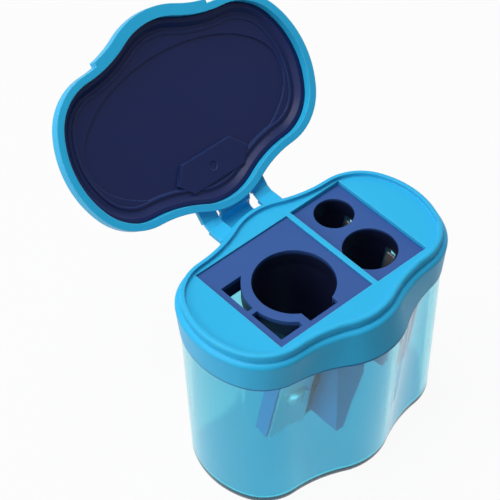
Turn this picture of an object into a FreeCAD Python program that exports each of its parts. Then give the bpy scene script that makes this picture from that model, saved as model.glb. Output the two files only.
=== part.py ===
"""Flip-lid canister sharpener with three bores, in millimetres, lid open.

The origin is the centre of the tub's underside, +X runs along the long side to the
two small bores, +Y to the hinge and +Z up.
"""
import FreeCAD, Part
import math
import os

from FreeCAD import Placement, Rotation, Vector

# Outline of the lip's inner edge; every level is this outline, grown or shrunk.
LIP_HALF_LENGTH = 27.3
LIP_HALF_WIDTH = 17.2
END_RADIUS = 18.0
CORNER_RADIUS = 9.8
CORNER_ANGLE = 27.0
BULGE_RADIUS = 13.0
WAIST_RADIUS = 28.0

# Heights, stacked from the tub's underside.
PARTING = 38.5
SKIRT_HEIGHT = 7.6
LEDGE = PARTING + SKIRT_HEIGHT
PANEL_RISE = 0.9
PANEL_TOP = LEDGE + PANEL_RISE
LIP_RISE = 0.9
LIP_TOP = PANEL_TOP + LIP_RISE
PANEL_THICKNESS = 2.2

# Growth of the outline at each level, and the extra width of the two bulges.
TUB_BASE_GROW = 0.1
TUB_BASE_BULGE = 0.5
TUB_TOP_GROW = 1.2
SKIRT_LOW_GROW = 1.4
SKIRT_TOP_GROW = 2.1
LOW_BULGE = 2.4
LIP_THICKNESS = 1.0
SHOULDER_ROUND = 0.9

# Tub.
TUB_WALL = 1.5
TUB_FLOOR = 1.6
TUB_FOOT_ROUND = 2.8
SPIGOT_HEIGHT = 3.4
SPIGOT_WALL = 1.3
SPIGOT_FIT = 0.2
SKIRT_WALL = 1.5
MOUTH_CLEARANCE = 0.4

# Wells and what sits in them; the wells' centre lies a little behind the outline's.
WELL_SHIFT = 0.5
LARGE_WELL = (-19.0, 4.75, -12.3, 12.3)
TWIN_WELL = (5.85, 19.0, -12.5, 12.5)
WELL_WALL = 1.2
WELL_FIT = 0.1
LARGE_RECESS = 0.4
TWIN_RECESS = 0.9
BLOCK_HEIGHT = 4.0

# Bores.
STANDARD_RADIUS = 4.1
STANDARD_AT = (12.7, 7.05)
JUMBO_RADIUS = 5.55
JUMBO_AT = (11.3, -4.7)
LARGE_RADIUS = 8.27
LARGE_AT = (-5.8, -1.4)
CONE_ANGLE = 12.0
CONE_TIP_RADIUS = 1.0
BODY_WALL = 2.0

# Blades and their screws.
BLADE_CUT = 0.35
BLADE_THICKNESS = 0.6
BLADE_EDGE_OVER = 0.3
BLADE_TOP_GAP = 0.8
SEAT_THICKNESS = 3.4
SEAT_GAP = 0.02
SMALL_BLADE_WIDTH = 7.0
LARGE_BLADE_WIDTH = 8.0
SCREW_HEAD_RADIUS = 2.2
SCREW_HEAD_HEIGHT = 1.2
SCREW_SHANK_RADIUS = 1.2
SCREW_SHANK_LENGTH = 3.6
SCREW_SLOT_WIDTH = 0.6
SCREW_SLOT_DEPTH = 0.5
SCREW_FIT = 0.05
SCREW_ALONG = 0.62

# Slots beside the cutting edges that let the shavings out, and the large body's cheek.
SMALL_CHIP_SLOT = 0.9
CHIP_SLOT = 2.7
CHEEK_FRONT = -10.6
CHEEK_STRAIGHT = 21.0

# Window round the large bore.
NOTCH = (-4.5, CHIP_SLOT, -9.5)
RING_RADIUS = 10.3
WINDOW_LEFT = -11.7
WINDOW_BACK = (0.3, 8.0)
WINDOW_FRONT = (-9.25, -0.85)
WINDOW_FRONT_RIGHT = -6.2

# Lid, drawn closed and then swung open.
LID_OPEN_ANGLE = 131.0
LID_SEAT_GAP = 0.2
LID_GROW = 2.8
LID_BULGE = 0.7
LID_WALL = 1.5
LID_TOP_WALL = 1.2
LID_BAND = 2.4
LID_DOME = 3.6
LID_DOME_INSET = 2.6
LID_TOP_ROUND = 1.6
TAB_LENGTH = 28.0
TAB_REACH = 0.9
TAB_HEIGHT = 2.2
LINER_GAP = 0.1
LINER_WALL = 1.0
LINER_LIP_GAP = 0.3
LINER_RECESS = 0.9
LINER_BEAD_INSET = 1.5
LINER_BEAD_WIDTH = 0.5
LINER_BEAD_HEIGHT = 0.3
POCKET_INSET = 2.6
POCKET_BACK = 1.0
POCKET_DEPTH = 0.4
POCKET_MARGIN = 0.2
PAD_HALF_START = 6.2
PAD_HALF_WIDE = 9.0
PAD_HALF_END = 6.5
PAD_START = 8.3
PAD_WIDE = 5.0
PAD_END = 2.0
PAD_HEIGHT = 0.4
PAD_DOT_RADIUS = 0.9

# Film hinge.
HINGE_REACH = 4.3
HINGE_Y = LIP_HALF_WIDTH + HINGE_REACH
HINGE_RISE = 0.5
HINGE_Z = LEDGE + HINGE_RISE
STRAP_AT = 6.5
STRAP_WIDTH = 3.8
STRAP_THICKNESS = 1.1
STRAP_OPEN = 1.15
STRAP_TIP = 0.3
FILM_THICKNESS = 0.5
TONGUE_WIDTH = 7.6
TONGUE_THICKNESS = 0.8
TONGUE_DROP = 1.2
TONGUE_ROOT = 0.5
TONGUE_SWEEP = 1.2


def outline(z, grow, bulge=0.0):
    """Closed wire of twelve tangent arcs at height z."""
    length = LIP_HALF_LENGTH + grow
    width = LIP_HALF_WIDTH + grow + bulge
    end_r = END_RADIUS + grow
    corner_r = CORNER_RADIUS + grow
    bulge_r = BULGE_RADIUS + grow
    waist_r = WAIST_RADIUS - grow
    turn = math.radians(CORNER_ANGLE)
    end_dir = Vector(math.cos(turn), math.sin(turn), 0)
    end_c = Vector(length - end_r, 0, 0)
    corner_c = end_c + end_dir * (end_r - corner_r)
    bulge_c = Vector(0, width - bulge_r, 0)
    span = bulge_c - corner_c
    reach_corner = waist_r + corner_r
    reach_bulge = waist_r + bulge_r
    along = (reach_corner ** 2 - reach_bulge ** 2 + span.Length ** 2) / (2 * span.Length)
    aside = math.sqrt(reach_corner ** 2 - along ** 2)
    unit = span / span.Length
    waist_c = corner_c + unit * along + Vector(unit.y, -unit.x, 0) * aside
    to_waist = (waist_c - corner_c).normalize()
    from_bulge = (waist_c - bulge_c).normalize()
    p1 = end_c + end_dir * end_r
    p2 = corner_c + to_waist * corner_r
    p3 = bulge_c + from_bulge * bulge_r
    m0 = Vector(length, 0, 0)
    m1 = corner_c + (end_dir + to_waist).normalize() * corner_r
    m2 = waist_c - (to_waist + from_bulge).normalize() * waist_r
    m3 = Vector(0, width, 0)

    def at(p, sx, sy):
        return Vector(p.x * sx, p.y * sy, z)

    chains = [
        (at(p1, 1, -1), at(m0, 1, 1), at(p1, 1, 1)),
        (at(p1, 1, 1), at(m1, 1, 1), at(p2, 1, 1)),
        (at(p2, 1, 1), at(m2, 1, 1), at(p3, 1, 1)),
        (at(p3, 1, 1), at(m3, 1, 1), at(p3, -1, 1)),
        (at(p3, -1, 1), at(m2, -1, 1), at(p2, -1, 1)),
        (at(p2, -1, 1), at(m1, -1, 1), at(p1, -1, 1)),
        (at(p1, -1, 1), at(m0, -1, 1), at(p1, -1, -1)),
        (at(p1, -1, -1), at(m1, -1, -1), at(p2, -1, -1)),
        (at(p2, -1, -1), at(m2, -1, -1), at(p3, -1, -1)),
        (at(p3, -1, -1), at(m3, 1, -1), at(p3, 1, -1)),
        (at(p3, 1, -1), at(m2, 1, -1), at(p2, 1, -1)),
        (at(p2, 1, -1), at(m1, 1, -1), at(p1, 1, -1)),
    ]
    return Part.Wire([Part.Arc(*points).toShape() for points in chains])


def level_solid(low, high):
    """Straight-sided solid between two (z, grow, bulge) levels."""
    return Part.makeLoft([outline(*low), outline(*high)], True, True)


def prism(z_low, z_high, grow, bulge=0.0):
    """Upright solid on one outline."""
    return Part.Face(outline(z_low, grow, bulge)).extrude(Vector(0, 0, z_high - z_low))


def block(x, y, z):
    """Box from three (low, high) pairs."""
    size = [high - low for low, high in (x, y, z)]
    return Part.makeBox(size[0], size[1], size[2], Vector(x[0], y[0], z[0]))


def round_edges(solid, radius, z):
    """Solid with the edges that lie at height z rounded."""
    edges = [e for e in solid.Edges if all(abs(v.Z - z) < 1e-4 for v in e.Vertexes)]
    return solid.makeFillet(radius, edges)


def side_profile(points, x_mid, width):
    """Solid of the given (y, z) profile, width across, centred at x_mid."""
    corners = [Vector(x_mid - width / 2, y, z) for y, z in points]
    face = Part.Face(Part.makePolygon(corners + corners[:1]))
    return face.extrude(Vector(width, 0, 0))


def skirt_inner_bulge(z):
    """Extra bulge of the skirt's inside at height z."""
    return LOW_BULGE * (LEDGE - z) / (LEDGE - PARTING)


def skirt_inner_grow():
    """Growth of the skirt's inside, the same at every height so that the head lifts off."""
    return SKIRT_LOW_GROW - SKIRT_WALL


def make_tub():
    """Shavings tub with a stepped spigot that goes up inside the skirt."""
    top = PARTING + SPIGOT_HEIGHT
    spigot_grow = skirt_inner_grow() - SPIGOT_FIT
    inner_grow = tub_mouth_grow()
    outer = level_solid((0, TUB_BASE_GROW, TUB_BASE_BULGE), (PARTING, TUB_TOP_GROW, LOW_BULGE))
    outer = round_edges(outer, TUB_FOOT_ROUND, 0)
    spigot = level_solid((PARTING, spigot_grow, LOW_BULGE), (top, spigot_grow, skirt_inner_bulge(top)))
    cavity = level_solid(
        (TUB_FLOOR, TUB_BASE_GROW - TUB_WALL, TUB_BASE_BULGE), (PARTING, inner_grow, LOW_BULGE))
    cavity = round_edges(cavity, TUB_FOOT_ROUND - TUB_WALL, TUB_FLOOR)
    mouth = level_solid((PARTING, inner_grow, LOW_BULGE), (top, inner_grow, skirt_inner_bulge(top)))
    return outer.fuse(spigot).cut(cavity).cut(mouth).removeSplitter()


def well_ranges(well, margin):
    """The x and y ranges of a well in the part's frame, grown by margin."""
    x = (well[0] - margin, well[1] + margin)
    y = (well[2] + WELL_SHIFT - margin, well[3] + WELL_SHIFT + margin)
    return x, y


def strap_leaf(x_mid, z_low, root_y):
    """Rigid half of a hinge strap, from its root to just short of the fold."""
    return block(
        (x_mid - STRAP_WIDTH / 2, x_mid + STRAP_WIDTH / 2), (root_y, HINGE_Y - STRAP_TIP),
        (z_low, z_low + STRAP_THICKNESS))


def tongue_root(z_low, root_y, tip_y):
    """Short stub that the hinge tongue runs from."""
    return block(
        (-TONGUE_WIDTH / 2, TONGUE_WIDTH / 2), (root_y, tip_y), (z_low, z_low + TONGUE_THICKNESS))


def head_tongue_levels():
    """Height and tip of the tongue's stub on the head."""
    z_low = HINGE_Z - STRAP_OPEN - STRAP_THICKNESS - TONGUE_DROP - TONGUE_THICKNESS
    share = (LEDGE - z_low) / SKIRT_HEIGHT
    tip_y = LIP_HALF_WIDTH + SKIRT_TOP_GROW + LOW_BULGE * share + TONGUE_ROOT
    return z_low, tip_y


def lid_tongue_levels():
    """Height and tip of the tongue's stub on the closed lid."""
    z_low = HINGE_Z + STRAP_OPEN
    tip_y = LIP_HALF_WIDTH + LID_GROW + LID_BULGE + TONGUE_ROOT
    return z_low, tip_y


def make_head():
    """Skirt, shoulder, lip and panel with two wells, and the head's hinge leaves."""
    under = PANEL_TOP - PANEL_THICKNESS
    well_low = PANEL_TOP - LARGE_RECESS - BLOCK_HEIGHT
    skirt = level_solid((PARTING, SKIRT_LOW_GROW, LOW_BULGE), (LEDGE, SKIRT_TOP_GROW, 0))
    skirt = round_edges(skirt, SHOULDER_ROUND, LEDGE)
    hollow = level_solid(
        (PARTING, skirt_inner_grow(), LOW_BULGE), (under, skirt_inner_grow(), skirt_inner_bulge(under)))
    lip = round_edges(prism(under, LIP_TOP, LIP_THICKNESS), LIP_THICKNESS / 2, LIP_TOP)
    head = skirt.cut(hollow).fuse(lip).cut(prism(PANEL_TOP, LIP_TOP + 1, 0))
    for well in (LARGE_WELL, TWIN_WELL):
        sleeve = block(*well_ranges(well, WELL_WALL), (well_low, under))
        head = head.fuse(sleeve.common(hollow))
    for well in (LARGE_WELL, TWIN_WELL):
        head = head.cut(block(*well_ranges(well, 0), (well_low - 1, LIP_TOP + 1)))
    root_y = LIP_HALF_WIDTH + SKIRT_TOP_GROW - SKIRT_WALL / 3
    for side in (-1, 1):
        leaf = strap_leaf(side * STRAP_AT, HINGE_Z - STRAP_OPEN - STRAP_THICKNESS, root_y - SKIRT_WALL)
        head = head.fuse(leaf.cut(hollow))
    z_low, tip_y = head_tongue_levels()
    return head.fuse(tongue_root(z_low, root_y, tip_y)).removeSplitter()


class Bore:
    """One conical bore with its blade, in a frame that lies on the blade."""

    def __init__(self, radius, at, top, facing, blade_width, chip_slot):
        """Set up the bore of a radius at an (x, y), whose blade is on the facing side."""
        self.radius = radius
        self.blade_width = blade_width
        self.chip_slot = chip_slot
        self.top = top
        self.x = at[0]
        self.y = at[1] + WELL_SHIFT
        self.cone_top = top - BLOCK_HEIGHT
        self.slope = math.tan(math.radians(CONE_ANGLE))
        self.cone_length = (radius - CONE_TIP_RADIUS) / self.slope
        self.blade_length = self.cone_length / math.cos(math.radians(CONE_ANGLE)) - BLADE_TOP_GAP
        turn = math.radians(CONE_ANGLE)
        up = Vector(0, 0, 1)
        down_blade = facing * -math.sin(turn) - up * math.cos(turn)
        outward = facing * math.cos(turn) - up * math.sin(turn)
        origin = Vector(self.x, self.y, self.cone_top) + facing * (radius - BLADE_CUT)
        self.frame = Placement(origin, Rotation(down_blade, up.cross(facing), outward, "XYZ"))

    def on_blade(self, shape):
        """Shape moved from the blade's frame to the part's."""
        shape.Placement = self.frame
        return shape

    def holder(self):
        """Cone of plastic round the bore, and the slab that the blade lies on."""
        wide = self.radius + BODY_WALL
        cone = Part.makeCone(
            CONE_TIP_RADIUS + BODY_WALL, wide, self.cone_length,
            Vector(self.x, self.y, self.cone_top - self.cone_length))
        slab = block(
            (0, self.blade_length + BLADE_TOP_GAP), (-self.blade_width - BLADE_EDGE_OVER, BODY_WALL),
            (-SEAT_THICKNESS, 0))
        return cone.fuse(self.on_blade(slab))

    def hollow(self):
        """Lead-in and cone that the pencil goes into."""
        lead_in = Part.makeCylinder(
            self.radius, BLOCK_HEIGHT + 1, Vector(self.x, self.y, self.cone_top))
        past = 2 * BODY_WALL
        cone = Part.makeCone(
            CONE_TIP_RADIUS, self.radius, self.cone_length,
            Vector(self.x, self.y, self.cone_top - self.cone_length))
        tip = Part.makeCylinder(
            CONE_TIP_RADIUS, past, Vector(self.x, self.y, self.cone_top - self.cone_length - past))
        return lead_in.fuse(cone).fuse(tip)

    def blade_room(self):
        """Everything outside the plane that the blade lies on."""
        length = self.blade_length + 4 * BODY_WALL
        room = block(
            (0, length), (-self.blade_width - 2 * BLADE_EDGE_OVER, self.chip_slot),
            (0, self.radius + 2 * BODY_WALL))
        return self.on_blade(room)

    def screw_at(self):
        """Place of the screw along and across the blade."""
        return SCREW_ALONG * self.blade_length, -self.blade_width / 2

    def screw_pin(self, radius, low, high):
        """Round pin on the screw's axis, from low to high off the blade's seat."""
        along, across = self.screw_at()
        return Part.makeCylinder(radius, high - low, Vector(along, across, low))

    def blade(self):
        """Flat steel blade with its screw hole and a ground cutting edge."""
        plate = block(
            (BLADE_TOP_GAP, BLADE_TOP_GAP + self.blade_length), (-self.blade_width, BLADE_EDGE_OVER),
            (SEAT_GAP, BLADE_THICKNESS))
        edges = [
            e for e in plate.Edges
            if all(abs(v.Y - BLADE_EDGE_OVER) < 1e-6 and v.Z > BLADE_THICKNESS / 2 for v in e.Vertexes)]
        plate = plate.makeChamfer(BLADE_THICKNESS * 0.7, edges)
        plate = plate.cut(self.screw_pin(SCREW_SHANK_RADIUS + SCREW_FIT, -1, 1))
        return self.on_blade(plate)

    def pilot(self):
        """Hole for the screw in the plastic."""
        return self.on_blade(
            self.screw_pin(SCREW_SHANK_RADIUS + SCREW_FIT, -SCREW_SHANK_LENGTH - SCREW_FIT, 1))

    def screw(self):
        """Slotted round-head screw."""
        seat = BLADE_THICKNESS + SEAT_GAP
        top = seat + SCREW_HEAD_HEIGHT
        along, across = self.screw_at()
        head = self.screw_pin(SCREW_HEAD_RADIUS, seat, top)
        rim = [e for e in head.Edges if all(abs(v.Z - top) < 1e-6 for v in e.Vertexes)]
        head = head.makeFillet(SCREW_HEAD_HEIGHT / 3, rim)
        slot = block(
            (along - SCREW_HEAD_RADIUS, along + SCREW_HEAD_RADIUS),
            (across - SCREW_SLOT_WIDTH / 2, across + SCREW_SLOT_WIDTH / 2),
            (top - SCREW_SLOT_DEPTH, top + 1))
        shank = self.screw_pin(SCREW_SHANK_RADIUS, -SCREW_SHANK_LENGTH, seat)
        return self.on_blade(head.cut(slot).fuse(shank).removeSplitter())


def tub_mouth_grow():
    """Growth of the tub's mouth, which everything under the head passes through."""
    return skirt_inner_grow() - SPIGOT_FIT - SPIGOT_WALL


def make_body(well, recess, bores, extras=()):
    """Block that fills a well, with the holders of its bores and any extras below it."""
    top = PANEL_TOP - recess
    body = block(*well_ranges(well, -WELL_FIT), (top - BLOCK_HEIGHT, top))
    room = prism(0, top - BLOCK_HEIGHT, tub_mouth_grow() - MOUTH_CLEARANCE)
    room = room.common(block(*well_ranges(well, -WELL_FIT), (0, top)))
    for bore in bores:
        body = body.fuse(bore.holder().common(room))
    for extra in extras:
        body = body.fuse(extra)
    for bore in bores:
        body = body.cut(bore.blade_room()).cut(bore.hollow()).cut(bore.pilot())
    return body.removeSplitter()


def large_cheek(bore):
    """Wedge that stands beside the large blade's chip slot, from the block down to the cone's tip."""
    left = bore.x + bore.chip_slot
    right = LARGE_WELL[1] - WELL_FIT
    low = bore.cone_top - bore.cone_length
    corners = [
        (left, bore.cone_top), (right, bore.cone_top), (right, bore.cone_top - CHEEK_STRAIGHT),
        (left + BODY_WALL, low), (left, low)]
    front = CHEEK_FRONT + WELL_SHIFT
    points = [Vector(x, front, z) for x, z in corners]
    return Part.Face(Part.makePolygon(points + points[:1])).extrude(Vector(0, bore.y - front, 0))


def large_windows(bore):
    """Notch in front of the large bore and the two windows beside its ring."""
    z = (bore.cone_top - BODY_WALL, bore.top + 1)
    ring = Part.makeCylinder(RING_RADIUS, z[1] - z[0], Vector(bore.x, bore.y, z[0]))
    notch = block((bore.x + NOTCH[0], bore.x + NOTCH[1]), (bore.y + NOTCH[2], bore.y), z)
    back = block((bore.x + WINDOW_LEFT, bore.x), [bore.y + y for y in WINDOW_BACK], z)
    front = block(
        (bore.x + WINDOW_LEFT, bore.x + WINDOW_FRONT_RIGHT), [bore.y + y for y in WINDOW_FRONT], z)
    return notch.fuse(back.cut(ring)).fuse(front.cut(ring))


def swing_open(shape):
    """Closed-lid shape turned to the open rest pose."""
    shape.rotate(Vector(0, HINGE_Y, HINGE_Z), Vector(1, 0, 0), -LID_OPEN_ANGLE)
    return shape


def lid_levels():
    """Heights of the closed lid's rim, the top of its band and its top."""
    low = LEDGE + LID_SEAT_GAP
    return low, low + LID_BAND, low + LID_BAND + LID_DOME


def make_lid_cover():
    """Outer shell of the lid with its thumb tab and hinge leaves."""
    low, band, top = lid_levels()
    inner = LID_GROW - LID_WALL
    dome = level_solid((band, LID_GROW, LID_BULGE), (top, LID_GROW - LID_DOME_INSET, LID_BULGE))
    shell = prism(low, band, LID_GROW, LID_BULGE).fuse(round_edges(dome, LID_TOP_ROUND, top))
    tab = prism(low, low + TAB_HEIGHT, LID_GROW + TAB_REACH, LID_BULGE)
    reach = LIP_HALF_WIDTH + LID_GROW + LID_BULGE + 2 * TAB_REACH
    tab = tab.common(block((-TAB_LENGTH / 2, TAB_LENGTH / 2), (-reach, 0), (low, low + TAB_HEIGHT)))
    shell = shell.fuse(tab)
    for side in (-1, 1):
        shell = shell.fuse(strap_leaf(side * STRAP_AT, HINGE_Z + STRAP_OPEN, LIP_HALF_WIDTH))
    z_low, tip_y = lid_tongue_levels()
    shell = shell.fuse(tongue_root(z_low, LIP_HALF_WIDTH, tip_y))
    hollow = prism(low, band, inner, LID_BULGE).fuse(
        level_solid((band, inner, LID_BULGE), (top - LID_TOP_WALL, inner - LID_DOME_INSET, LID_BULGE)))
    return swing_open(shell.cut(hollow).removeSplitter())


def make_lid_liner():
    """Dark lining of the lid with its bead and the pad by the hinge."""
    top = lid_levels()[2]
    rim = LIP_TOP + LINER_LIP_GAP
    ceiling = top - LID_TOP_WALL - LINER_GAP
    face = rim + LINER_RECESS
    outer_grow = LID_GROW - LID_WALL - LINER_GAP
    inner_grow = outer_grow - LINER_WALL
    slope = LID_DOME_INSET / (LID_DOME - LID_TOP_WALL)
    shell = level_solid(
        (rim, outer_grow, LID_BULGE), (ceiling, outer_grow - slope * (ceiling - rim), LID_BULGE))
    recess = level_solid(
        (rim, inner_grow, LID_BULGE), (face, inner_grow - slope * (face - rim), LID_BULGE))
    shell = shell.cut(recess)
    bead_low = face - LINER_BEAD_HEIGHT
    inside_grow = -LINER_BEAD_INSET - LINER_BEAD_WIDTH
    bead = prism(bead_low, face, -LINER_BEAD_INSET, LID_BULGE)
    bead = bead.cut(prism(bead_low, face, inside_grow, LID_BULGE))
    pocket_length = LIP_HALF_LENGTH - POCKET_INSET
    pocket_width = LIP_HALF_WIDTH - POCKET_INSET - POCKET_BACK
    pocket = Part.Ellipse(Vector(0, POCKET_BACK, face), pocket_length, pocket_width)
    pocket = Part.Face(Part.Wire(pocket.toShape())).extrude(Vector(0, 0, POCKET_DEPTH))
    pocket = pocket.common(prism(face, face + POCKET_DEPTH, inside_grow - POCKET_MARGIN, LID_BULGE))
    rows = [(PAD_HALF_START, PAD_START), (PAD_HALF_WIDE, PAD_WIDE), (PAD_HALF_END, PAD_END)]
    right = [(half, LIP_HALF_WIDTH - inset) for half, inset in rows]
    corners = right + [(-x, y) for x, y in reversed(right)]
    pad_low = face - PAD_HEIGHT
    points = [Vector(x, y, pad_low) for x, y in corners]
    pad_high = face + POCKET_DEPTH - pad_low
    pad = Part.Face(Part.makePolygon(points + points[:1])).extrude(Vector(0, 0, pad_high))
    dot = Part.makeCylinder(PAD_DOT_RADIUS, PAD_HEIGHT / 2, Vector(0, LIP_HALF_WIDTH - PAD_WIDE, pad_low))
    return swing_open(shell.fuse(bead).cut(pocket).fuse(pad).cut(dot).removeSplitter())


def opened(y, z):
    """Point of the closed lid's side view as it stands when open."""
    turn = math.radians(-LID_OPEN_ANGLE)
    across = y - HINGE_Y
    above = z - HINGE_Z
    return (
        HINGE_Y + across * math.cos(turn) - above * math.sin(turn),
        HINGE_Z + across * math.sin(turn) + above * math.cos(turn))


def make_film(side):
    """Thin folding web of one strap, between its two leaves."""
    tip = HINGE_Y - STRAP_TIP + SEAT_GAP
    near = HINGE_Z - STRAP_OPEN
    far = HINGE_Z + STRAP_OPEN
    profile = [
        (tip, near), opened(tip, far), opened(tip, far + FILM_THICKNESS), (tip, near - FILM_THICKNESS)]
    return side_profile(profile, side * STRAP_AT, STRAP_WIDTH)


def make_tongue():
    """Middle band that stops the lid at its open angle."""
    head_z, head_y = head_tongue_levels()
    lid_z, lid_y = lid_tongue_levels()
    head_y = head_y + SEAT_GAP
    lid_y = lid_y + SEAT_GAP
    bend = (HINGE_Y + TONGUE_SWEEP, head_z)
    upper_bend = (HINGE_Y + TONGUE_SWEEP - TONGUE_THICKNESS / 2, head_z + TONGUE_THICKNESS)
    profile = [
        (head_y, head_z), bend, opened(lid_y, lid_z + TONGUE_THICKNESS), opened(lid_y, lid_z),
        upper_bend, (head_y, head_z + TONGUE_THICKNESS)]
    return side_profile(profile, 0, TONGUE_WIDTH)


def main():
    """Build every piece and write one file for each."""
    os.makedirs("parts", exist_ok=True)
    front = Vector(0, -1, 0)
    right = Vector(1, 0, 0)
    twin_top = PANEL_TOP - TWIN_RECESS
    large = Bore(LARGE_RADIUS, LARGE_AT, PANEL_TOP - LARGE_RECESS, front, LARGE_BLADE_WIDTH, CHIP_SLOT)
    jumbo = Bore(JUMBO_RADIUS, JUMBO_AT, twin_top, right, SMALL_BLADE_WIDTH, SMALL_CHIP_SLOT)
    standard = Bore(STANDARD_RADIUS, STANDARD_AT, twin_top, right, SMALL_BLADE_WIDTH, SMALL_CHIP_SLOT)
    pieces = {
        "tub": make_tub(),
        "head_frame": make_head(),
        "large_sharpener_body": make_body(
            LARGE_WELL, LARGE_RECESS, [large], [large_cheek(large)]).cut(large_windows(large)),
        "twin_sharpener_body": make_body(TWIN_WELL, TWIN_RECESS, [jumbo, standard]),
        "lid_cover": make_lid_cover(),
        "lid_liner": make_lid_liner(),
        "hinge_film_left": make_film(-1),
        "hinge_film_right": make_film(1),
        "hinge_tongue": make_tongue(),
    }
    for name, bore in (("large", large), ("jumbo", jumbo), ("standard", standard)):
        pieces[name + "_blade"] = bore.blade()
        pieces[name + "_blade_screw"] = bore.screw()
    for name, shape in pieces.items():
        box = shape.BoundBox
        print(name, "solids", len(shape.Solids), "valid", shape.isValid(), "volume", round(shape.Volume, 1),
              "z", round(box.ZMin, 2), round(box.ZMax, 2), "y", round(box.YMin, 2), round(box.YMax, 2),
              "x", round(box.XMin, 2), round(box.XMax, 2))
        shape.exportStep("parts/" + name + ".step")


main()
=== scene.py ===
"""Looks of a flip-lid canister pencil sharpener: finishes, bending hinge pieces, studio and camera."""

import logging
import math
from dataclasses import dataclass
from enum import Enum

import bpy
from mathutils import Matrix, Vector


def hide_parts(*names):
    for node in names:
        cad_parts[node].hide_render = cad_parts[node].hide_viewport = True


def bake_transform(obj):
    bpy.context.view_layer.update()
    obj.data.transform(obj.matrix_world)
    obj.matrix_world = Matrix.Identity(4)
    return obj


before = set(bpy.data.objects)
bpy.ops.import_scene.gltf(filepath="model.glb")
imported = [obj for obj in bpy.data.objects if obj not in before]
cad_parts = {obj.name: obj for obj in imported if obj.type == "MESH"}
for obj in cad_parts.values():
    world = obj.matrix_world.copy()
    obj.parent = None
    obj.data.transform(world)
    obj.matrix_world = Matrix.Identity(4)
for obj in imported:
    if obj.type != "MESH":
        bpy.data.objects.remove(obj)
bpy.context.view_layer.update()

LOG = logging.getLogger("canister_sharpener")
MM = 0.001

Colour = tuple[float, float, float]
Point = tuple[float, float, float]
Span = tuple[float, float]
UNIT: Span = (0.0, 1.0)


class Slot(Enum):
    """Material slots of the record."""

    BLUE = "blue_plastic"
    NAVY = "navy_plastic"
    INSERT = "insert_plastic"
    TUB = "tub_plastic"
    STEEL = "blade_steel"


class Body(Enum):
    """Rigid bodies that the bending pieces join."""

    HEAD = "head"
    LID = "lid"


class Graph:
    """A shader tree that nodes are added to and joined in."""

    def __init__(self, tree: bpy.types.NodeTree) -> None:
        """Start on an emptied tree.

        Args:
            tree: The node tree to fill.
        """
        self.tree = tree
        tree.nodes.clear()

    def add(
        self, kind: str, sockets: dict[str | int, object] | None = None, **settings: object
    ) -> bpy.types.Node:
        """Add a node.

        Args:
            kind: The node's type name.
            sockets: Constants of its input sockets, by name or number.
            settings: Settings of the node, by attribute name.

        Returns:
            The new node.
        """
        node = self.tree.nodes.new(kind)
        for name, value in settings.items():
            setattr(node, name, value)
        for key, value in (sockets or {}).items():
            node.inputs[key].default_value = value
        return node

    def join(self, source: bpy.types.NodeSocket, target: bpy.types.NodeSocket) -> None:
        """Link two sockets.

        Args:
            source: The output socket.
            target: The input socket.
        """
        self.tree.links.new(source, target)

    def place(self) -> bpy.types.NodeSocket:
        """Give the place on the piece, in metres."""
        return self.add("ShaderNodeTexCoord").outputs["Object"]

    def height(self) -> bpy.types.NodeSocket:
        """Give the height on the piece, in metres."""
        split = self.add("ShaderNodeSeparateXYZ")
        self.join(self.place(), split.inputs["Vector"])
        return split.outputs["Z"]

    def combine(
        self, operation: str, first: bpy.types.NodeSocket, second: bpy.types.NodeSocket
    ) -> bpy.types.NodeSocket:
        """Reckon with two values.

        Args:
            operation: The name of the reckoning.
            first: The first value.
            second: The second value.

        Returns:
            The outcome.
        """
        node = self.add("ShaderNodeMath", operation=operation)
        self.join(first, node.inputs[0])
        self.join(second, node.inputs[1])
        return node.outputs["Value"]

    def ramp(
        self, value: bpy.types.NodeSocket, before: Span = UNIT, after: Span = UNIT
    ) -> bpy.types.NodeSocket:
        """Map a value from one span to another and hold it at the ends.

        Args:
            value: The value.
            before: The span that it comes from.
            after: The span that it goes to.

        Returns:
            The mapped value.
        """
        node = self.add("ShaderNodeMapRange", {
            "From Min": before[0],
            "From Max": before[1],
            "To Min": after[0],
            "To Max": after[1],
        })
        self.join(value, node.inputs["Value"])
        return node.outputs["Result"]

    def mix(
        self,
        share: bpy.types.NodeSocket,
        first: Colour | bpy.types.NodeSocket,
        second: Colour | bpy.types.NodeSocket,
    ) -> bpy.types.NodeSocket:
        """Mix two colours.

        Args:
            share: How much of the second colour shows.
            first: The colour at nought.
            second: The colour at one.

        Returns:
            The mixed colour.
        """
        node = self.add("ShaderNodeMix", data_type="RGBA")
        self.join(share, node.inputs["Factor"])
        for name, colour in (("A", first), ("B", second)):
            if isinstance(colour, bpy.types.NodeSocket):
                self.join(colour, node.inputs[name])
            else:
                node.inputs[name].default_value = (*colour, 1.0)
        return node.outputs["Result"]


@dataclass(frozen=True)
class Grain:
    """How one material wears the moulding texture.

    The scales of mottling and peel are per metre, and the radius of the softened edges is in millimetres.
    """

    mottle_scale: float
    peel_scale: float
    peel_depth: float
    edge_round: float


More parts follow.
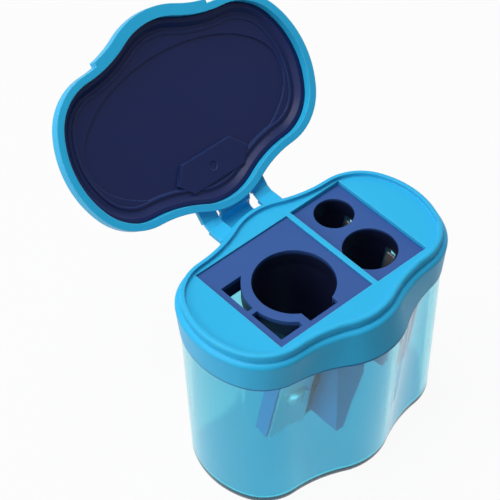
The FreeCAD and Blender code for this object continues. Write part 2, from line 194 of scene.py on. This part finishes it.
class MouldGrain:
    """Node group for moulded plastic: slow mottling, roughness drift, an edge mask for painted highlights,
    softened edges and a fine peel normal.
    """

    NAME = "mould_grain"
    INPUTS = ("Mottle Scale", "Peel Scale", "Peel Depth", "Edge Round")
    MASKS = ("Mottle", "Drift", "Edge")
    MOTTLE_DETAIL = 3.0
    DRIFT_SCALE = 240.0
    DRIFT_DETAIL = 4.0
    PEEL_DETAIL = 2.0
    PEEL_HEIGHT = 0.05 * MM
    EDGE_SAMPLES = 4
    # Cosine of the angle by which the softened normal leaves the true one, where the painted edge highlight
    # is nil and where it is full.
    EDGE_TURN = (0.99, 0.80)

    def __init__(self) -> None:
        """Build the group once."""
        self.group = bpy.data.node_groups.new(self.NAME, "ShaderNodeTree")
        face = self.group.interface
        for name in self.INPUTS:
            face.new_socket(name, in_out="INPUT", socket_type="NodeSocketFloat")
        for name in self.MASKS:
            face.new_socket(name, in_out="OUTPUT", socket_type="NodeSocketFloat")
        face.new_socket("Normal", in_out="OUTPUT", socket_type="NodeSocketVector")
        graph = Graph(self.group)
        entry = graph.add("NodeGroupInput")
        leave = graph.add("NodeGroupOutput")
        mottle = graph.add("ShaderNodeTexNoise", {"Detail": self.MOTTLE_DETAIL})
        drift = graph.add("ShaderNodeTexNoise", {"Scale": self.DRIFT_SCALE, "Detail": self.DRIFT_DETAIL})
        peel = graph.add("ShaderNodeTexNoise", {"Detail": self.PEEL_DETAIL})
        soft_edge = graph.add("ShaderNodeBevel", samples=self.EDGE_SAMPLES)
        shape = graph.add("ShaderNodeNewGeometry")
        turned = graph.add("ShaderNodeVectorMath", operation="DOT_PRODUCT")
        bump = graph.add("ShaderNodeBump", {"Distance": self.PEEL_HEIGHT})
        place = graph.place()
        for noise in (mottle, drift, peel):
            graph.join(place, noise.inputs["Vector"])
        graph.join(entry.outputs["Mottle Scale"], mottle.inputs["Scale"])
        graph.join(entry.outputs["Peel Scale"], peel.inputs["Scale"])
        graph.join(entry.outputs["Peel Depth"], bump.inputs["Strength"])
        graph.join(entry.outputs["Edge Round"], soft_edge.inputs["Radius"])
        graph.join(soft_edge.outputs["Normal"], bump.inputs["Normal"])
        graph.join(soft_edge.outputs["Normal"], turned.inputs[0])
        graph.join(shape.outputs["Normal"], turned.inputs[1])
        graph.join(peel.outputs["Fac"], bump.inputs["Height"])
        graph.join(mottle.outputs["Fac"], leave.inputs["Mottle"])
        graph.join(drift.outputs["Fac"], leave.inputs["Drift"])
        graph.join(graph.ramp(turned.outputs["Value"], before=self.EDGE_TURN), leave.inputs["Edge"])
        graph.join(bump.outputs["Normal"], leave.inputs["Normal"])

    def use(self, graph: Graph, grain: Grain) -> bpy.types.Node:
        """Place the group in a material.

        Args:
            graph: The material's graph.
            grain: How the material wears it.

        Returns:
            The group's node.
        """
        return graph.add("ShaderNodeGroup", {
            "Mottle Scale": grain.mottle_scale,
            "Peel Scale": grain.peel_scale,
            "Peel Depth": grain.peel_depth,
            "Edge Round": grain.edge_round * MM,
        }, node_tree=self.group)


@dataclass(frozen=True)
class Tint:
    """A colour that takes over below a height, in millimetres, with half the band in which it fades in."""

    colour: Colour
    below: float
    blur: float

    def over(self, graph: Graph, colour: bpy.types.NodeSocket) -> bpy.types.NodeSocket:
        """Lay the tint over a colour.

        Args:
            graph: The material's graph.
            colour: The colour above that height.

        Returns:
            The mixed colour.
        """
        band = ((self.below - self.blur) * MM, (self.below + self.blur) * MM)
        return graph.mix(graph.ramp(graph.height(), before=band), self.colour, colour)


@dataclass(frozen=True, kw_only=True)
class Bore:
    """An upright pencil bore: a short lead-in and a cone to its tip, in millimetres.

    The shade inside starts a little below the top and is full at the second depth of the fade.
    """

    x: float
    y: float
    radius: float
    top: float
    depth: float
    lead_in: float = 4.0
    margin: float = 0.6
    fade: Span = (0.1, 1.6)

    def inside(self, graph: Graph) -> bpy.types.NodeSocket:
        """Mask the bore's inside.

        Args:
            graph: The material's graph.

        Returns:
            One inside the bore and nought outside it.
        """
        flat = graph.add("ShaderNodeVectorMath", {1: (1.0, 1.0, 0.0)}, operation="MULTIPLY")
        reach = graph.add(
            "ShaderNodeVectorMath", {1: (self.x * MM, self.y * MM, 0.0)}, operation="DISTANCE")
        graph.join(graph.place(), flat.inputs[0])
        graph.join(flat.outputs["Vector"], reach.inputs[0])
        height = graph.height()
        cone_top = self.top - self.lead_in
        wall = graph.ramp(
            height,
            before=((cone_top - self.depth) * MM, cone_top * MM),
            after=(self.margin * MM, (self.radius + self.margin) * MM))
        near = graph.combine("LESS_THAN", reach.outputs["Value"], wall)
        low = graph.ramp(height, before=tuple((self.top - depth) * MM for depth in self.fade))
        return graph.combine("MULTIPLY", near, low)


def start_material(slot: Slot) -> tuple[bpy.types.Material, Graph]:
    """Start the material of a slot.

    Args:
        slot: The slot that names it.

    Returns:
        The material and its empty graph.
    """
    material = bpy.data.materials.new(slot.value)
    material.use_nodes = True
    return material, Graph(material.node_tree)


def dress_surface(
    graph: Graph,
    surface: bpy.types.Node,
    colour: bpy.types.NodeSocket,
    roughness: bpy.types.NodeSocket,
    normal: bpy.types.NodeSocket,
) -> bpy.types.Node:
    """Join what varies over a surface to its shader, and the shader to the output.

    Args:
        graph: The material's graph.
        surface: The shader.
        colour: Its colour.
        roughness: Its roughness.
        normal: Its normal.

    Returns:
        The material's output node.
    """
    out = graph.add("ShaderNodeOutputMaterial")
    graph.join(colour, surface.inputs["Base Color"])
    graph.join(roughness, surface.inputs["Roughness"])
    graph.join(normal, surface.inputs["Normal"])
    graph.join(surface.outputs["BSDF"], out.inputs["Surface"])
    return out


@dataclass(frozen=True, kw_only=True)
class PlasticFinish:
    """Opaque moulded plastic, with the depth that light scatters to in millimetres."""

    slot: Slot
    colour: Colour
    shade: Colour
    # Painted highlight: a lighter colour laid along the edges.
    edge_highlight: Colour
    roughness: Span
    grain: Grain
    specular: float
    coat: float = 0.0
    coat_roughness: float = 0.12
    subsurface: float = 0.0
    subsurface_radius: Colour = (0.4, 0.8, 1.0)
    subsurface_depth: float = 1.5
    ior: float = 1.5
    tints: tuple[Tint, ...] = ()
    bore_painted_shade: Colour = (0.0, 0.0, 0.0)
    bores: tuple[Bore, ...] = ()

    def build(self, mould: MouldGrain) -> bpy.types.Material:
        """Make the material.

        Args:
            mould: The shared moulding texture.

        Returns:
            The material.
        """
        material, graph = start_material(self.slot)
        surface = graph.add("ShaderNodeBsdfPrincipled", {
            "IOR": self.ior,
            "Specular IOR Level": self.specular,
            "Coat Weight": self.coat,
            "Coat Roughness": self.coat_roughness,
            "Subsurface Weight": self.subsurface,
            "Subsurface Radius": self.subsurface_radius,
            "Subsurface Scale": self.subsurface_depth * MM,
        })
        texture = mould.use(graph, self.grain)
        colour = graph.mix(texture.outputs["Mottle"], self.shade, self.colour)
        for tint in self.tints:
            colour = tint.over(graph, colour)
        # Painted shade: a near-black colour inside each bore.
        for bore in self.bores:
            colour = graph.mix(bore.inside(graph), colour, self.bore_painted_shade)
        # Painted highlight: lighter colour along the edges, by the edge mask.
        colour = graph.mix(texture.outputs["Edge"], colour, self.edge_highlight)
        rough = graph.ramp(texture.outputs["Drift"], after=self.roughness)
        dress_surface(graph, surface, colour, rough, texture.outputs["Normal"])
        return material


@dataclass(frozen=True, kw_only=True)
class ClearFinish:
    """Clear tinted plastic that light goes through, and that takes up light by the metre."""

    slot: Slot
    colour: Colour
    shade: Colour
    depth_colour: Colour
    depth_density: float
    roughness: Span
    grain: Grain
    floor_tint: Tint
    ior: float = 1.45
    transmission: float = 0.96

    def build(self, mould: MouldGrain) -> bpy.types.Material:
        """Make the material.

        Args:
            mould: The shared moulding texture.

        Returns:
            The material.
        """
        material, graph = start_material(self.slot)
        surface = graph.add("ShaderNodeBsdfPrincipled", {
            "IOR": self.ior,
            "Transmission Weight": self.transmission,
        })
        inside = graph.add("ShaderNodeVolumeAbsorption", {
            "Color": (*self.depth_colour, 1.0),
            "Density": self.depth_density,
        })
        texture = mould.use(graph, self.grain)
        colour = graph.mix(texture.outputs["Mottle"], self.shade, self.colour)
        colour = self.floor_tint.over(graph, colour)
        rough = graph.ramp(texture.outputs["Drift"], after=self.roughness)
        out = dress_surface(graph, surface, colour, rough, texture.outputs["Normal"])
        graph.join(inside.outputs["Volume"], out.inputs["Volume"])
        return material


@dataclass(frozen=True, kw_only=True)
class SteelFinish:
    """Ground blade steel with fine grinding lines, whose scale along each axis is per metre."""

    slot: Slot
    colour: Colour
    shade: Colour
    roughness: Span
    grain: Grain
    line_scale: Point = (4000.0, 4000.0, 160.0)

    def build(self, mould: MouldGrain) -> bpy.types.Material:
        """Make the material.

        Args:
            mould: The shared surface texture.

        Returns:
            The material.
        """
        material, graph = start_material(self.slot)
        surface = graph.add("ShaderNodeBsdfPrincipled", {"Metallic": 1.0})
        stretch = graph.add("ShaderNodeMapping", {"Scale": self.line_scale})
        lines = graph.add("ShaderNodeTexNoise", {"Scale": 1.0})
        graph.join(graph.place(), stretch.inputs["Vector"])
        graph.join(stretch.outputs["Vector"], lines.inputs["Vector"])
        texture = mould.use(graph, self.grain)
        colour = graph.mix(texture.outputs["Mottle"], self.shade, self.colour)
        rough = graph.ramp(lines.outputs["Fac"], after=self.roughness)
        dress_surface(graph, surface, colour, rough, texture.outputs["Normal"])
        return material


BLUE = PlasticFinish(
    slot=Slot.BLUE,
    colour=(0.028, 0.440, 0.750),
    shade=(0.022, 0.405, 0.710),
    edge_highlight=(0.120, 0.580, 0.840),
    roughness=(0.30, 0.44),
    grain=Grain(mottle_scale=60.0, peel_scale=2600.0, peel_depth=0.10, edge_round=0.25),
    specular=0.16,
    coat=0.02,
    subsurface=0.08,
    # Painted shadow: a dark blue band along the skirt's lower edge, where it meets the tub.
    tints=(Tint(colour=(0.006, 0.090, 0.300), below=38.85, blur=0.1),),
)
NAVY = PlasticFinish(
    slot=Slot.NAVY,
    colour=(0.006, 0.014, 0.080),
    shade=(0.005, 0.011, 0.066),
    edge_highlight=(0.022, 0.060, 0.210),
    roughness=(0.34, 0.50),
    grain=Grain(mottle_scale=60.0, peel_scale=2600.0, peel_depth=0.14, edge_round=0.25),
    specular=0.2,
)
INSERT = PlasticFinish(
    slot=Slot.INSERT,
    colour=(0.030, 0.090, 0.300),
    shade=(0.026, 0.078, 0.265),
    edge_highlight=(0.045, 0.120, 0.360),
    roughness=(0.40, 0.56),
    grain=Grain(mottle_scale=60.0, peel_scale=2600.0, peel_depth=0.20, edge_round=0.25),
    specular=0.2,
    tints=(
        # Painted shade: near-black navy below the top faces, down in the wells.
        Tint(colour=(0.008, 0.014, 0.060), below=45.6, blur=0.2),
        # Painted light: a lighter blue below the head, where light comes in through the tub.
        Tint(colour=(0.020, 0.230, 0.480), below=36.5, blur=0.1),
    ),
    # Painted shade inside the bores.
    bore_painted_shade=(0.004, 0.006, 0.024),
    bores=(
        Bore(x=12.7, y=7.55, radius=4.1, top=46.1, depth=19.3),
        Bore(x=11.3, y=-4.2, radius=5.55, top=46.1, depth=26.1),
        Bore(x=-5.8, y=-0.9, radius=8.27, top=46.6, depth=38.9),
    ),
)
TUB = ClearFinish(
    slot=Slot.TUB,
    colour=(0.27, 0.77, 0.87),
    shade=(0.25, 0.75, 0.86),
    depth_colour=(0.10, 0.66, 0.88),
    depth_density=30.0,
    roughness=(0.025, 0.075),
    grain=Grain(mottle_scale=45.0, peel_scale=1800.0, peel_depth=0.02, edge_round=0.1),
    floor_tint=Tint(colour=(0.004, 0.50, 0.70), below=2.6, blur=1.0),
)
STEEL = SteelFinish(
    slot=Slot.STEEL,
    colour=(0.86, 0.87, 0.88),
    shade=(0.76, 0.77, 0.79),
    roughness=(0.34, 0.52),
    grain=Grain(mottle_scale=300.0, peel_scale=3000.0, peel_depth=0.05, edge_round=0.05),
)


class CadLooks:
    """Materials of the CAD nodes."""

    # A node that isn't named here is a blade or a screw, and is steel.
    SLOTS = {
        "tub": Slot.TUB,
        "head_frame": Slot.BLUE,
        "lid_cover": Slot.BLUE,
        "hinge_film_left": Slot.BLUE,
        "hinge_film_right": Slot.BLUE,
        "hinge_tongue": Slot.BLUE,
        "lid_liner": Slot.NAVY,
        "large_sharpener_body": Slot.INSERT,
        "twin_sharpener_body": Slot.INSERT,
    }

    def __init__(self, materials: dict[Slot, bpy.types.Material]) -> None:
        """Keep the materials.

        Args:
            materials: The material of each slot.
        """
        self.materials = materials

    def apply(self) -> None:
        """Give every CAD node its material, and let light through the clear tub."""
        for name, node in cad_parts.items():
            slot = self.SLOTS.get(name, Slot.STEEL)
            node.data.materials.clear()
            node.data.materials.append(self.materials[slot])
            node.visible_shadow = slot is not Slot.TUB
            LOG.info("node %s takes %s", name, slot.value)


@dataclass
class Hinge:
    """The bending pieces between head and lid: two strap films and the middle tongue.

    Lengths are in millimetres and angles in degrees. A pair is a side-view point: the distance to the back
    and the height.
    """

    axis_y: float = 21.5
    axis_z: float = 46.6
    open_angle: float = 131.0
    strap_at: float = 6.5
    strap_width: float = 3.8
    strap_tip: float = 0.28
    strap_open: float = 1.15
    film_thickness: float = 0.5
    tongue_width: float = 7.6
    tongue_thickness: float = 0.8
    tongue_head: tuple[float, float] = (21.0, 42.75)
    tongue_lid: tuple[float, float] = (21.22, 48.15)
    tongue_sweep: float = 2.6
    tongue_dip: float = 0.2
    steps: int = 12
    round_width: float = 0.12
    round_segments: int = 2
    round_angle: float = 50.0
    smooth_angle: float = 40.0

    def opened(self, y: float, z: float) -> Vector:
        """Turn a side-view point of the closed lid to the open pose.

        Args:
            y: Distance to the back.
            z: Height.

        Returns:
            The point at x = 0.
        """
        turn = Matrix.Rotation(math.radians(-self.open_angle), 3, "X")
        axis = Vector((0, self.axis_y, self.axis_z))
        return axis + turn @ (Vector((0, y, z)) - axis)

    def strip(
        self, name: str, x_mid: float, width: float, path: list[Vector], thickness: float
    ) -> bpy.types.Object:
        """Draw out a flat strip along a side-view path and give it thickness and round edges.

        Args:
            name: The piece's name.
            x_mid: Middle of the strip.
            width: Width of the strip along X.
            path: Points of its middle surface, from head to lid.
            thickness: Its thickness.

        Returns:
            The strip.
        """
        bpy.ops.object.select_all(action="DESELECT")
        bpy.ops.mesh.primitive_plane_add(size=1)
        strip = bpy.context.active_object
        strip.name = name
        far = {vertex.index for vertex in strip.data.vertices if vertex.co.y > 0}
        for vertex in strip.data.vertices:
            end = path[1] if vertex.index in far else path[0]
            vertex.co = Vector((x_mid + vertex.co.x * width, end.y, end.z)) * MM
        bpy.ops.object.mode_set(mode="EDIT")
        bpy.ops.mesh.select_mode(type="EDGE")
        bpy.ops.mesh.select_all(action="DESELECT")
        bpy.ops.object.mode_set(mode="OBJECT")
        for edge in strip.data.edges:
            edge.select = far.issuperset(edge.vertices)
        bpy.ops.object.mode_set(mode="EDIT")
        for before, after in zip(path[1:], path[2:]):
            bpy.ops.mesh.extrude_region_move(TRANSFORM_OT_translate={"value": (after - before) * MM})
        bpy.ops.mesh.select_all(action="SELECT")
        bpy.ops.mesh.normals_make_consistent(inside=False)
        bpy.ops.object.mode_set(mode="OBJECT")
        wall = strip.modifiers.new("wall", "SOLIDIFY")
        wall.thickness = thickness * MM
        wall.offset = 0.0
        rounding = strip.modifiers.new("rounding", "BEVEL")
        rounding.width = self.round_width * MM
        rounding.segments = self.round_segments
        rounding.limit_method = "ANGLE"
        rounding.angle_limit = math.radians(self.round_angle)
        for modifier in ("wall", "rounding"):
            bpy.ops.object.modifier_apply(modifier=modifier)
        bpy.ops.object.shade_smooth_by_angle(angle=math.radians(self.smooth_angle))
        LOG.info("piece %s drawn", name)
        return strip

    def build(self, material: bpy.types.Material) -> None:
        """Build the three bending pieces.

        Args:
            material: The blue plastic.
        """
        self.build_straps(material)
        self.build_tongue(material)

    def build_straps(self, material: bpy.types.Material) -> None:
        """Build the straight films of the two straps.

        Args:
            material: The blue plastic.
        """
        tip_y = self.axis_y - self.strap_tip
        half = self.film_thickness / 2
        start = Vector((0, tip_y, self.axis_z - self.strap_open - half))
        end = self.opened(tip_y, self.axis_z + self.strap_open + half)
        path = [start.lerp(end, step / self.steps) for step in range(self.steps + 1)]
        for side, node in ((-1, "hinge_film_left"), (1, "hinge_film_right")):
            x_mid = side * self.strap_at
            film = self.strip(node + "_look", x_mid, self.strap_width, path, self.film_thickness)
            self.fit(film, node, material)

    def build_tongue(self, material: bpy.types.Material) -> None:
        """Build the middle tongue on a curve that a point behind the hinge pulls out.

        Args:
            material: The blue plastic.
        """
        start = Vector((0, *self.tongue_head))
        end = self.opened(*self.tongue_lid)
        pull = Vector((0, self.axis_y + self.tongue_sweep, self.tongue_head[1] - self.tongue_dip))
        path = []
        for step in range(self.steps + 1):
            share = step / self.steps
            path.append(start.lerp(pull, share).lerp(pull.lerp(end, share), share))
        tongue = self.strip("hinge_tongue_look", 0.0, self.tongue_width, path, self.tongue_thickness)
        self.fit(tongue, "hinge_tongue", material)

    def fit(
        self, piece: bpy.types.Object, node: str, material: bpy.types.Material
    ) -> None:
        """Give a piece its material, bake its place and hide the CAD node that it stands for.

        Args:
            piece: The piece.
            node: The CAD node that it stands for.
            material: Its material.
        """
        piece.data.materials.append(material)
        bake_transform(piece)
        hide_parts(node)


def seen_ray(graph: Graph) -> bpy.types.NodeSocket:
    """Tell the rays that show a surface from those that only light it.

    Args:
        graph: The graph of the floor or the world.

    Returns:
        One for camera, see-through and mirror rays, and nought for the rest.
    """
    path = graph.add("ShaderNodeLightPath")
    direct = graph.combine(
        "MAXIMUM", path.outputs["Is Camera Ray"], path.outputs["Is Transmission Ray"])
    return graph.combine("MAXIMUM", direct, path.outputs["Is Glossy Ray"])


@dataclass(frozen=True, kw_only=True)
class Softbox:
    """A square soft light, with its place and side in metres and its power in watts."""

    name: str
    at: Point
    size: float
    power: float

    def add(self, aim: Point) -> None:
        """Add the light.

        Args:
            aim: The point that it faces, in metres.
        """
        data = bpy.data.lights.new(self.name, "AREA")
        data.size = self.size
        data.energy = self.power
        light = bpy.data.objects.new(self.name, data)
        light.location = self.at
        toward = Vector(aim) - Vector(self.at)
        light.rotation_euler = toward.to_track_quat("-Z", "Y").to_euler()
        bpy.context.collection.objects.link(light)


SOFTBOXES = (
    Softbox(name="top_softbox", at=(-0.1, 0.15, 0.7), size=0.5, power=4.2),
    Softbox(name="left_softbox", at=(-0.6, 0.1, 0.3), size=0.4, power=2.2),
    Softbox(name="right_softbox", at=(0.55, 0.05, 0.3), size=0.35, power=0.6),
)


@dataclass
class Studio:
    """Pale floor, soft lights, white background and the photograph's camera.

    The floor's size and the lights' aim are in metres, angles are in degrees, and every other length is in
    millimetres.
    """

    floor_size: float = 3.0
    floor_drop: float = 0.02
    floor_grey: float = 0.62
    floor_white: float = 0.93
    fill_colour: Colour = (0.95, 0.98, 1.0)
    fill_strength: float = 0.14
    white: Colour = (1.0, 1.0, 1.0)
    white_strength: float = 1.0
    softboxes: tuple[Softbox, ...] = SOFTBOXES
    light_aim: Point = (0.0, 0.0, 0.04)
    camera_at: Point = (-180.8, -191.0, 331.1)
    camera_azimuth: float = -40.78
    camera_elevation: float = 46.84
    camera_roll: float = -1.2
    lens: float = 144.0
    sensor: float = 36.0
    clip_start: float = 10.0

    def add_floor(self) -> None:
        """Add the floor: grey paper that shows nearly white."""
        bpy.ops.object.select_all(action="DESELECT")
        bpy.ops.mesh.primitive_plane_add(size=self.floor_size, location=(0, 0, -self.floor_drop * MM))
        floor = bpy.context.active_object
        floor.name = "floor"
        material = bpy.data.materials.new("floor_paper")
        material.use_nodes = True
        graph = Graph(material.node_tree)
        grey = (self.floor_grey, self.floor_grey, self.floor_grey, 1.0)
        paper = graph.add("ShaderNodeBsdfDiffuse", {"Color": grey})
        white = graph.add("ShaderNodeEmission", {
            "Color": (*self.white, 1.0),
            "Strength": self.white_strength,
        })
        mix = graph.add("ShaderNodeMixShader")
        out = graph.add("ShaderNodeOutputMaterial")
        share = graph.ramp(seen_ray(graph), after=(0.0, self.floor_white))
        graph.join(share, mix.inputs["Fac"])
        graph.join(paper.outputs["BSDF"], mix.inputs[1])
        graph.join(white.outputs["Emission"], mix.inputs[2])
        graph.join(mix.outputs["Shader"], out.inputs["Surface"])
        floor.data.materials.append(material)

    def add_world(self) -> None:
        """Set a white background for camera, mirror and see-through rays and grey fill for the rest."""
        world = bpy.data.worlds.new("studio")
        bpy.context.scene.world = world
        world.use_nodes = True
        graph = Graph(world.node_tree)
        fill = graph.add("ShaderNodeBackground", {
            "Color": (*self.fill_colour, 1.0),
            "Strength": self.fill_strength,
        })
        white = graph.add("ShaderNodeBackground", {
            "Color": (*self.white, 1.0),
            "Strength": self.white_strength,
        })
        mix = graph.add("ShaderNodeMixShader")
        out = graph.add("ShaderNodeOutputWorld")
        graph.join(seen_ray(graph), mix.inputs["Fac"])
        graph.join(fill.outputs["Background"], mix.inputs[1])
        graph.join(white.outputs["Background"], mix.inputs[2])
        graph.join(mix.outputs["Shader"], out.inputs["Surface"])

    def add_camera(self) -> None:
        """Add the camera of the photograph."""
        azimuth = math.radians(self.camera_azimuth)
        elevation = math.radians(self.camera_elevation)
        back = Vector((
            math.sin(azimuth) * math.cos(elevation),
            -math.cos(azimuth) * math.cos(elevation),
            math.sin(elevation)))
        right = Vector((math.cos(azimuth), math.sin(azimuth), 0))
        up = back.cross(right)
        turn = Matrix((right, up, back)).transposed() @ Matrix.Rotation(
            math.radians(self.camera_roll), 3, "Z")
        data = bpy.data.cameras.new("photo_camera")
        data.lens = self.lens
        data.sensor_width = self.sensor
        data.clip_start = self.clip_start * MM
        camera = bpy.data.objects.new("photo_camera", data)
        camera.matrix_world = Matrix.Translation(Vector(self.camera_at) * MM) @ turn.to_4x4()
        bpy.context.collection.objects.link(camera)
        bpy.context.scene.camera = camera

    def build(self) -> None:
        """Build the whole studio."""
        self.add_floor()
        self.add_world()
        for softbox in self.softboxes:
            softbox.add(self.light_aim)
        self.add_camera()
        bpy.context.scene.view_settings.view_transform = "Standard"


def main() -> None:
    """Build the looks in order."""
    logging.basicConfig(level=logging.INFO, format="%(message)s")
    mould = MouldGrain()
    materials = {finish.slot: finish.build(mould) for finish in (BLUE, NAVY, INSERT, TUB, STEEL)}
    Studio().build()
    CadLooks(materials).apply()
    Hinge().build(materials[Slot.BLUE])


if __name__ == "__main__":
    main()
